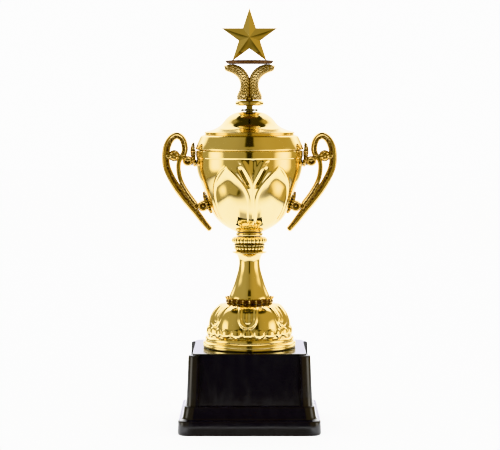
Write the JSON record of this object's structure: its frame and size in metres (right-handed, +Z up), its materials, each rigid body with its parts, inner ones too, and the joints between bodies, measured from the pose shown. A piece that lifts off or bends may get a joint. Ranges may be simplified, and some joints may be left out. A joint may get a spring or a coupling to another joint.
{
  "type": "cup trophy",
  "caption": "Two-handled cup trophy with an embossed bowl, lift-off lid, five-pointed star finial, baluster stem and lobed foot on a square panelled plinth.",
  "frame": {"origin": "centre of the plinth's underside, on the surface the trophy stands on", "axes": "+Z up along the cup's axis, +X to the right-hand handle, the front faces -Y"},
  "size_m": [0.125, 0.101, 0.3],
  "materials": {
    "gold_plate": "mirror-polished gold plating",
    "antique_gold": "antiqued gold plating, dark in the recesses",
    "bright_chrome": "bright plated",
    "zinc_steel": "zinc-plated fastener steel",
    "black_plastic": "glossy moulded plastic",
    "ballast": "rough cast",
    "board": "matte board"
  },
  "bodies": {
    "cup": {"plinth_shell": "black_plastic", "plinth_weight": "ballast", "bottom_plate": "board", "rod_washer": "zinc_steel", "rod_nut": "zinc_steel", "tie_rod": "zinc_steel", "foot": "gold_plate", "calyx_ring": "antique_gold", "stem": "gold_plate", "knop": "gold_plate", "neck_ring": "gold_plate", "bowl": "gold_plate", "bowl_washer": "zinc_steel", "bowl_nut": "zinc_steel", "handle_right": "antique_gold", "handle_left": "antique_gold", "handle_screw_upper_right": "zinc_steel", "handle_screw_lower_right": "zinc_steel", "handle_screw_upper_left": "zinc_steel", "handle_screw_lower_left": "zinc_steel"},
    "cover": {"lid": "gold_plate", "lid_collar": "gold_plate", "lid_washer": "zinc_steel", "finial_washer": "bright_chrome"},
    "finial": {"lid_nut": "zinc_steel", "finial_stud": "zinc_steel", "finial_foot": "gold_plate", "riser": "antique_gold", "star_plate": "antique_gold", "star": "gold_plate"}
  },
  "joints": [
    {"name": "lid_lift", "type": "slide", "parent": "cup", "child": "cover", "axis": [0, 0, 1], "range_m": [0, 0.06]},
    {"name": "finial_turn", "type": "hinge", "parent": "cover", "child": "finial", "pos_m": [0, 0, 0.23], "axis": [0, 0, 1], "continuous": true}
  ]
}
